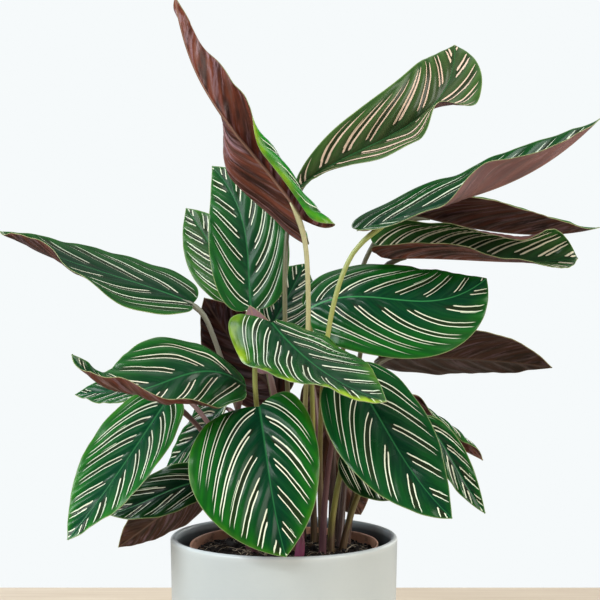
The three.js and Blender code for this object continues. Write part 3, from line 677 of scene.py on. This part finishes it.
def upper_material(leaf):
    g = material_graph(f"{leaf['name']}_upper")
    light, fresh, glow = leaf["light"], leaf["fresh"], g.number("glow")
    strongest_glow = max(np.broadcast_to(leaf["glow"], 2))
    lines, between, inside = pin_stripes(g, leaf["stripe"])
    share, edge = g.number("share"), g.number("edge")
    patches = g.grain(28, 3, 0.6)
    fine = g.noise(g.combine(g.times(g.number("vein"), 9), g.times(share, 3)), 1, 3)

    # darkest green by the midrib, clearer towards the margin; darker along the pairs, where the folds sink,
    # is painted shade
    outer = g.step(g.scaled(patches, 0.7, g.minus(share, 0.35)), 0.05, 1)
    outermost = (0.004 + 0.005 * fresh, 0.065 + 0.065 * fresh, 0.016 - 0.01 * fresh)
    greens = [(0, (0.002, 0.038, 0.016)), (0.5, (0.004, 0.062, 0.011)), (1, outermost)]
    # light scales the greens: partly the leaf's own tone, partly painted light and shade for how lit the leaf
    # sits
    green = g.ramp(outer, [(place, dimmed(stop, light)) for place, stop in greens])
    green = g.mix(leaf["olive"], green, (0.08, 0.098, 0.034))
    band = g.step(g.math("ABSOLUTE", g.minus(inside, 0.5)), 0.12, 0.5)
    green = g.mix(g.scaled(band, -0.4, 0.4), green, dimmed((0.003, 0.026, 0.011), light))
    # fine lighter lines along the side veins: partly their own colour, partly painted shading of the ripples
    # between them
    green = g.mix(g.times(g.step(fine, 0.4, 0.75), 0.3), green, dimmed((0.01, 0.11, 0.022), light))
    brown = g.mix(g.times(between, 0.7), green, (0.017, 0.016, 0.008))
    # cream stripes, a little pinker near the midrib
    warm = g.mix(leaf["pink"], (0.8, 0.92, 0.71), (0.76, 0.48, 0.38))
    cream = g.mix(g.step(share, 0.15, 0.6), g.mix(0.2, warm, (0.76, 0.5, 0.38)), warm)
    colour = g.mix(g.times(lines, leaf["clear"]), brown, cream)
    rib = along_midrib(g, -0.6, 0.85, 0.35, 0.45)
    colour = g.mix(g.times(rib, leaf["midrib"]), colour, (0.03, 0.2, 0.06))
    # a painted glow of light shining through the thin margin, yellow-green and in patches
    near = g.times(g.fade(edge, 0, 5 + 4 * strongest_glow), g.step(patches, 0.35, 0.65))
    colour = g.mix(g.times(near, g.times(glow, 0.8)), colour,
                   (0.1 + 0.24 * strongest_glow, 0.34 + 0.14 * strongest_glow, 0.015))
    hem = g.fade(edge, 0.3, 0.8)
    colour = g.mix(g.times(hem, 0.3), colour, (0.26, 0.4, 0.14))
    gloss = g.plus(g.scaled(patches, 0.16, 0.17), g.times(lines, 0.08))
    normal = g.bump(g.plus(g.times(fine, 0.8), g.times(lines, 0.25)), 0.35, 0.00025)
    return g.finish(colour, gloss, normal, leaf["shine"], LEAF_IOR)


def underside_material(leaf):
    g = material_graph(f"{leaf['name']}_underside")
    lines, between, _ = pin_stripes(g, 1)
    share, edge = g.number("share"), g.number("edge")
    vein, wine = g.number("vein"), leaf["wine"]
    streak = g.noise(g.combine(g.times(vein, 1.9), g.times(share, 0.8)), 1, 4, 0.55)
    patches = g.grain(22, 3, 0.6)
    mixed = g.scaled(patches, 0.3, g.times(streak, 0.8))

    thin = g.noise(g.combine(g.times(vein, 3.2), g.times(share, 1.2), 5), 1, 5, 0.65)
    # dark maroon and red streaks along the veins: partly their own colour, partly painted sheen on the ribs
    # between them
    streaked = [(0.38, (0.011, 0.005, 0.004)), (0.48, (0.055, 0.017, 0.012)),
                (0.6, (0.175, 0.046, 0.026)), (0.72, (0.165, 0.076, 0.062))]
    colour = g.ramp(mixed, [(place, dimmed(stop, wine)) for place, stop in streaked])
    colour = g.mix(leaf["tan"], colour, dimmed((0.09, 0.062, 0.038), wine))
    colour = g.mix(g.times(between, 0.45), colour, dimmed((0.03, 0.008, 0.006), wine))
    # painted sheen: lilac-grey reflection streaks along the veins; grey spreads it over the whole underside
    painted_sheen = g.times(g.step(thin, 0.48, 0.64), g.step(patches, 0.3, 0.62, 0.3, 1))
    painted_sheen = g.math("MAXIMUM", g.times(painted_sheen, 0.8), leaf["grey"])
    colour = g.mix(painted_sheen, colour, dimmed((0.33, 0.205, 0.24), wine))
    rib = along_midrib(g, -0.9, 1.5, 0.5, 0.5)
    colour = g.mix(g.times(rib, 0.6), colour, dimmed((0.3, 0.18, 0.13), wine))
    hem = g.fade(edge, 0.3, 0.9)
    colour = g.mix(g.times(hem, 0.5), colour, (0.28, 0.2, 0.12))
    gloss = g.scaled(streak, 0.2, 0.3)
    normal = g.bump(g.plus(streak, g.times(lines, 0.1)), 0.5, 0.0004)
    return g.finish(colour, gloss, normal, MATT * wine ** 0.5, LEAF_IOR)


def streaked_stem(g, streaks, stops):
    """Colours that change upwards at a height that the streaks shift, and the streaks' bump."""
    place = g.plus(g.number("rise"), g.scaled(streaks, 0.3, -0.15))
    return g.ramp(place, stops), g.bump(streaks, 0.4, 0.0004)


def stalk_material(leaf):
    g = material_graph(f"{leaf['name']}_petiole")
    low, middle, top = STALKS[leaf["stalk"]]
    skin = g.node("Attribute", attribute_name="skin").outputs["Vector"]
    drawn_out = g.node("Mapping", {"Vector": skin, "Scale": (1, 1, 0.05)}).outputs[0]
    streaks = g.noise(drawn_out, 1.6, 4)
    spots = g.noise(skin, 0.55, 4, 0.65)
    colour, normal = streaked_stem(g, streaks, [(0, low), (0.22, low), (0.5, middle), (0.85, top), (1, top)])
    colour = g.mix(g.step(streaks, 0.5, 0.75, 0, 0.35), colour, dimmed(middle, 1.35))
    colour = g.mix(g.step(spots, 0.55, 0.8, 0, 0.5), colour, dimmed(low, 0.5))
    return g.finish(colour, g.scaled(spots, 0.25, 0.28), normal)


def glazed_material():
    g = material_graph("cover_pot_glaze")
    cloud = g.grain(9, 4, 0.6)
    speck = g.grain(420, 2)
    inner, height = g.number("inner"), g.number("height")
    colour = g.ramp(cloud, [(0.3, (0.44, 0.484, 0.5)), (0.7, (0.49, 0.53, 0.534))])
    colour = g.mix(g.step(speck, 0.62, 0.75, 0, 0.18), colour, (0.4, 0.41, 0.41))
    # painted shade down the inner wall: near black low in the pot, blue-grey just below the rim
    painted_inner_shade = g.ramp(g.scaled(cloud, 0.04, height),
                  [(0.92, (0.012, 0.015, 0.017)), (0.98, (0.08, 0.105, 0.12)), (1.02, (0.4, 0.48, 0.52))])
    # painted highlight: a lighter band round the top of the rim
    colour = g.mix(g.step(height, 0.965, 0.99, 0, 0.4), colour, (0.62, 0.66, 0.67))
    colour = g.mix(inner, colour, painted_inner_shade)
    skin = g.noise(g.place((1, 1, 2.5)), 55, 3)
    gloss = g.scaled(cloud, 0.12, 0.34)
    normal = g.bump(g.plus(skin, g.times(speck, 0.12)), 0.25, 0.0006)
    return g.finish(colour, gloss, normal)


def nursery_material():
    g = material_graph("nursery_plastic")
    cloud = g.grain(26, 5, 0.65)
    dust = g.noise(g.place((1, 1, 2)), 75, 4, 0.7)
    colour = g.ramp(cloud, [(0.3, (0.42, 0.2, 0.12)), (0.7, (0.68, 0.37, 0.245))])
    colour = g.mix(g.step(dust, 0.47, 0.64, 0, 0.6), colour, (0.16, 0.085, 0.055))
    gloss = g.scaled(dust, 0.35, 0.34)
    return g.finish(colour, gloss, g.bump(dust, 0.4, 0.0006))


def soil_material():
    g = material_graph("potting_soil")
    grain = g.grain(190, 6, 0.75)
    cloud = g.grain(40, 4, 0.6)
    colour = g.ramp(grain, [(0.32, (0.002, 0.002, 0.001)), (0.55, (0.006, 0.004, 0.003)),
                            (0.75, (0.02, 0.013, 0.008))])
    colour = g.mix(g.step(cloud, 0.45, 0.7, 0, 0.45), colour, (0.012, 0.007, 0.004))
    return g.finish(colour, g.scaled(grain, 0.3, 0.62), g.bump(grain, 0.9, 0.0015), MATT)


def crumb_material():
    g = material_graph("soil_crumbs")
    tint = g.number("tint")
    grain = g.grain(260, 5, 0.7)
    colour = g.ramp(tint, [(0, (0.003, 0.002, 0.002)), (0.55, (0.01, 0.006, 0.004)),
                           (0.85, (0.026, 0.015, 0.009)), (1, (0.08, 0.05, 0.03))])
    colour = g.mix(g.step(grain, 0.4, 0.7, 0, 0.6), colour, (0.008, 0.005, 0.004))
    return g.finish(colour, g.scaled(grain, 0.3, 0.6), g.bump(grain, 0.7, 0.001), MATT)


def shoot_material():
    g = material_graph("young_shoot_skin")
    streaks = g.noise(g.place((1, 1, 0.12)), 900, 4)
    colour, normal = streaked_stem(g, streaks, [(0, (0.12, 0.035, 0.05)), (0.5, (0.23, 0.045, 0.11)),
                                                (0.85, (0.17, 0.06, 0.07)), (1, (0.1, 0.14, 0.03))])
    colour = g.mix(g.step(streaks, 0.5, 0.8, 0, 0.5), colour, (0.35, 0.12, 0.2))
    return g.finish(colour, g.scaled(streaks, 0.2, 0.3), normal)


# ---- the plant
for number, leaf in enumerate(LEAVES):
    blade_piece(leaf, number)
    stalk_piece(leaf, number)


# ---- the pots
def cover_pot():
    foot, rim, height, lip, heel, hollow, floor, corner = 100.0, 104.0, 185.0, 2.75, 7, 94.5, 10, 9.0
    profile = [(0, 1.2), (foot - 12, 1.2), (foot - 10.5, 0.3)] + arc((foot - heel, heel), heel, -90, 0, 10)
    profile += line((foot, heel), (rim, height - lip), 24)
    profile += arc((rim - lip, height - lip), lip, 0, 180, 15)
    profile += line((rim - 2 * lip, height - lip), (hollow, floor + corner), 20)
    profile += arc((hollow - corner, floor + corner), corner, 0, -90, 8)
    profile += line((hollow - corner, floor), (0, floor), 6) + [(0, floor)]
    points, faces = lathe(profile, 192)
    out = np.hypot(points[:, 0], points[:, 1])
    inner = smooth(rim - 0.8 * lip, rim - 1.8 * lip, out) * (points[:, 2] > floor - 1)
    add_piece("cover_pot_shell", points, faces, [glazed_material()], "cover_pot",
              {"inner": inner, "height": points[:, 2] / height})


def nursery_pot():
    bottom, base, wall = 10.3, 64.0, 1.6
    band, rim, outer, inner = 164, 178, 86.4, 84.9  # the rim band's underside, top and two faces
    profile = [(0, bottom), (base - 3, bottom), (base - 0.8, bottom + 0.7), (base, bottom + 3)]
    profile += line((base, bottom + 3), (83.5, band), 18) + [(83.5, band), (85.9, 164.2), (outer, 164.9)]
    profile += line((outer, 164.9), (86.5, 177.2), 6) + [(86.5, 177.2), (86.3, 177.8)]
    profile += [(85.7, rim), (85.1, 177.8), (inner, 177.2)] + line((inner, 177.2), (inner, 165.6), 5)
    profile += [(inner, 165.6), (81.9, band)]
    profile += line((81.9, band), (base - wall, bottom + wall), 14)
    profile += [(base - wall, bottom + wall), (0, bottom + wall)]
    points, faces = lathe(profile, 160)
    # the soft rim is a little out of level
    angle = np.arctan2(points[:, 1], points[:, 0])
    upper = smooth(160, rim, points[:, 2])
    points[:, 2] += upper * 0.7 * np.sin(3 * angle + 0.8) * (np.hypot(points[:, 0], points[:, 1]) > 84)
    add_piece("nursery_pot_shell", points, faces, [nursery_material()], "nursery_pot")


cover_pot()
nursery_pot()


# ---- soil, crumbs, fibres
def value_noise(x, y, seed, size):
    """Smooth random heights over the plane, about -1 to 1, with bumps of one size."""
    table = np.random.default_rng(seed).uniform(-1, 1, (64, 64))
    u, v = x / size + 100, y / size + 100
    i, j = np.floor(u).astype(int), np.floor(v).astype(int)
    a, b = smooth(0, 1, u - i), smooth(0, 1, v - j)
    corner = [table[(i + p) % 64, (j + q) % 64] for p in (0, 1) for q in (0, 1)]
    weights = (1 - a) * (1 - b), (1 - a) * b, a * (1 - b), a * b
    return sum(height * weight for height, weight in zip(corner, weights))


def soil_height(x, y):
    lumps = 1.8 * value_noise(x, y, 1, 14) + 1.2 * value_noise(x, y, 2, 6) + 0.7 * value_noise(x, y, 3, 2.6)
    sunk = -3.2 * smooth(60, 84, np.hypot(x, y))
    return SOIL_TOP + 0.5 + lumps + sunk


def soil_bed():
    sides, radii = 220, np.linspace(1.5, SOIL_RADIUS, 84)
    angle = full_turn(sides)
    x, y = radii[:, None] * np.cos(angle), radii[:, None] * np.sin(angle)
    rings = np.stack([x, y, soil_height(x, y)], -1)
    skirt = np.stack([x[-1:] * 0.99, y[-1:] * 0.99, np.full((1, sides), SOIL_UNDERSIDE)], -1)
    rings = np.concatenate([rings, skirt])
    middle = float(soil_height(np.array(0.0), np.array(0.0)))
    points = np.concatenate([rings.reshape(-1, 3), [(0, 0, middle), (0, 0, SOIL_UNDERSIDE)]])
    index, turned, quads = ring_faces(len(rings), sides)
    faces = quads[:, [0, 3, 2, 1]].tolist()
    top, under = len(points) - 2, len(points) - 1
    faces += [[top, a, b] for a, b in zip(index[0], turned[0])]
    faces += [[under, b, a] for a, b in zip(index[-1], turned[-1])]
    add_piece("soil_bed", points, faces, [soil_material()], "soil")


def ball():
    """A small icosphere as points and triangles."""
    shape = bmesh.new()
    bmesh.ops.create_icosphere(shape, subdivisions=2, radius=1)
    shape.verts.index_update()
    points = np.array([vertex.co for vertex in shape.verts])
    faces = np.array([[vertex.index for vertex in face.verts] for face in shape.faces])
    shape.free()
    return points, faces


def soil_crumbs():
    rng = np.random.default_rng(11)
    shape, triangles = ball()
    points, faces, tints = [], [], []
    for k in range(CRUMBS):
        radius, turn = 83.5 * math.sqrt(rng.uniform()), rng.uniform(0, TURN)
        x, y = radius * math.cos(turn), radius * math.sin(turn)
        size = rng.uniform(0.8, 2.4) * (1.5 if rng.uniform() < 0.12 else 1)
        lump = 1 + 0.28 * np.sin(shape @ rng.normal(size=3) * 3 + rng.uniform(0, 6))
        lump += 0.18 * np.sin(shape @ rng.normal(size=3) * 6)
        stretch = rng.uniform(0.55, 1.35, 3) * (1, 1, 0.8)
        angle = rng.uniform(0, TURN)
        cos, sin = math.cos(angle), math.sin(angle)
        turn_back = np.array([[cos, sin, 0], [-sin, cos, 0], [0, 0, 1]])
        body = (shape * lump[:, None] * stretch * size) @ turn_back
        limit = 84.4 - np.hypot(*np.abs(body[:, :2]).max(0))
        if radius > limit:
            x, y = x * limit / radius, y * limit / radius
        z = float(soil_height(np.array(x), np.array(y))) + size * 0.25
        faces.append(triangles + len(shape) * k)
        points.append(body + (x, y, z))
        tints.append(np.full(len(shape), rng.uniform() ** 1.6))
    add_piece("soil_crumbs", np.concatenate(points), np.concatenate(faces).tolist(), [crumb_material()],
              None, {"tint": np.concatenate(tints)})


def root_fibres():
    rng = np.random.default_rng(23)
    points, faces, start = [], [], 0
    for _ in range(FIBRES):
        radius, turn = 78 * math.sqrt(rng.uniform()), rng.uniform(0, TURN)
        place = np.array([radius * math.cos(turn), radius * math.sin(turn)])
        heading, bow = rng.uniform(0, TURN), rng.normal() * 0.05
        count = rng.integers(9, 22)
        flat = []
        for _ in range(count):
            flat.append(place.copy())
            heading += bow + rng.normal() * 0.13
            place = place + 1.5 * np.array([math.cos(heading), math.sin(heading)])
        flat = np.array(flat)
        flat = flat * np.minimum(1, 82 / np.maximum(np.linalg.norm(flat, axis=1), 1))[:, None]
        hump = rng.uniform(0.4, 3.2) * np.sin(np.pi * np.linspace(0, 1, count))
        height = soil_height(flat[:, 0], flat[:, 1]) + 0.3 + hump
        path = np.column_stack([flat, height])
        tube, quads = swept(path, rng.uniform(0.12, 0.26) * (1 - 0.6 * np.linspace(0, 1, count)), 6)
        points.append(tube)
        faces += [[i + start for i in quad] for quad in quads]
        start += len(tube)
    straw = speckled("root_fibres", 90, 3, [(0.3, (0.2, 0.13, 0.08)), (0.7, (0.58, 0.5, 0.38))], (0.2, 0.5))
    add_piece("root_fibres", np.concatenate(points), faces, [straw])


soil_bed()
soil_crumbs()
root_fibres()


# ---- young shoot
def young_shoot():
    x, y, radius, height, lean = 12.0, -38.0, 4.5, 44.0, 0.12
    rows, sides = 40, 36
    share = np.linspace(0, 1, rows)
    start, middle, end = radius * 0.8, radius * 1.3, radius * 0.25
    radii = (1 - share) ** 2 * start + 2 * (1 - share) * share * middle + share ** 2 * end
    rise = 2 * (1 - share) * share * height * 0.45 + share ** 2 * height
    wrap = ((full_turn(sides)[None, :] / TURN + share[:, None] * 0.8) % 1) * 0.16 - 0.08
    centre = np.column_stack([np.zeros(rows), np.zeros(rows), rise])
    points, faces = swept(centre, radii, sides, wrap)
    tilt = np.array([[math.cos(lean), 0, math.sin(lean)], [0, 1, 0], [-math.sin(lean), 0, math.cos(lean)]])
    points = points @ tilt.T + (x, y, SOIL_TOP - BURIED)
    add_piece("young_shoot_spear", points, faces, [shoot_material()], "young_shoot",
              {"rise": np.repeat(share, sides)})


young_shoot()


# ---- stage, light and camera
def floor_material():
    g = material_graph("pale_floor")
    grain = g.noise(g.place((0.7, 14, 1)), 7, 5, 0.62)
    colour = g.ramp(grain, [(0.3, (0.56, 0.455, 0.345)), (0.7, (0.66, 0.56, 0.44))])
    return g.finish(colour, g.scaled(grain, 0.1, 0.5))


def round_table(radius, back_edge):
    """A flat round table top, cut straight behind the plant."""
    start = math.asin(back_edge / radius)
    turns = np.linspace(math.pi - start, 2 * math.pi + start, 97)
    mesh = bpy.data.meshes.new("floor")
    corners = [(radius * math.cos(a), radius * math.sin(a), 0) for a in turns]
    mesh.from_pydata(corners, [], [list(range(len(corners)))])
    mesh.materials.append(floor_material())
    table = bpy.data.objects.new("floor", mesh)
    show(table)


round_table(2.4, 0.6)


def soft_light(name, place, aim, size, power, colour):
    """A square area light that looks at the height aim above the pot's middle."""
    light = bpy.data.lights.new(name, "AREA")
    light.size = size
    light.energy = power
    light.color = colour
    lamp = bpy.data.objects.new(name, light)
    lamp.location = place
    lamp.rotation_euler = (Vector((0, 0, aim)) - Vector(place)).to_track_quat("-Z", "Y").to_euler()
    show(lamp)


soft_light("key_left", (-1.9, -1.1, 1.7), 0.35, 1.4, 70, (0.91, 0.975, 1))
soft_light("fill_right", (1.9, -1.2, 1.1), 0.35, 1.4, 48, (1, 0.98, 0.9))
soft_light("window", (-0.9, -1.6, 2), 0.3, 0.3, 15, (0.97, 0.99, 1))
soft_light("top", (0, 0.3, 2.6), 0.4, 2, 16, (1, 1, 1))
soft_light("back_left", (-1.6, 2.2, 1.6), 0.35, 1.4, 24, (0.96, 0.985, 1))
soft_light("back_right", (1.8, 2, 1.2), 0.35, 1.4, 20, (1, 0.985, 0.95))

scene.world = bpy.data.worlds.new("studio")
sky = Graph(scene.world)


def background(colour, strength):
    return sky.node("Background", {"Color": colour, "Strength": strength}).outputs[0]


def either(factor, first, second):
    return sky.node("MixShader", {0: factor, 1: first, 2: second}).outputs[0]


# the eye sees a bright wall, gloss mirrors a dim room that is lighter behind and above,
# and everything else is lit by an even one
towards = sky.node("SeparateXYZ", {0: sky.node("TexCoord").outputs["Generated"]}).outputs
room = sky.plus(sky.step(towards["Y"], 0, 0.9, 0.03, 0.26), sky.step(towards["Z"], 0.2, 1, 0.03, 0.22))
ray = sky.node("LightPath").outputs
lit = either(ray["Is Diffuse Ray"], background((0.92, 0.96, 1), room), background((0.94, 0.97, 1), 0.2))
whole = either(ray["Is Camera Ray"], lit, background((0.922, 0.955, 0.965), 1))
sky.tree.links.new(whole, sky.tree.nodes["World Output"].inputs["Surface"])

scene.view_settings.view_transform = "Standard"

camera = bpy.data.cameras.new("camera")
camera.lens = 76
camera.sensor_width = 36
camera.clip_start = 0.01
viewer = bpy.data.objects.new("camera", camera)
viewer.location = (0.0147, -1.166, 0.401)
viewer.rotation_euler = (math.pi / 2, 0, 0)
show(viewer)
bpy.context.scene.camera = viewer
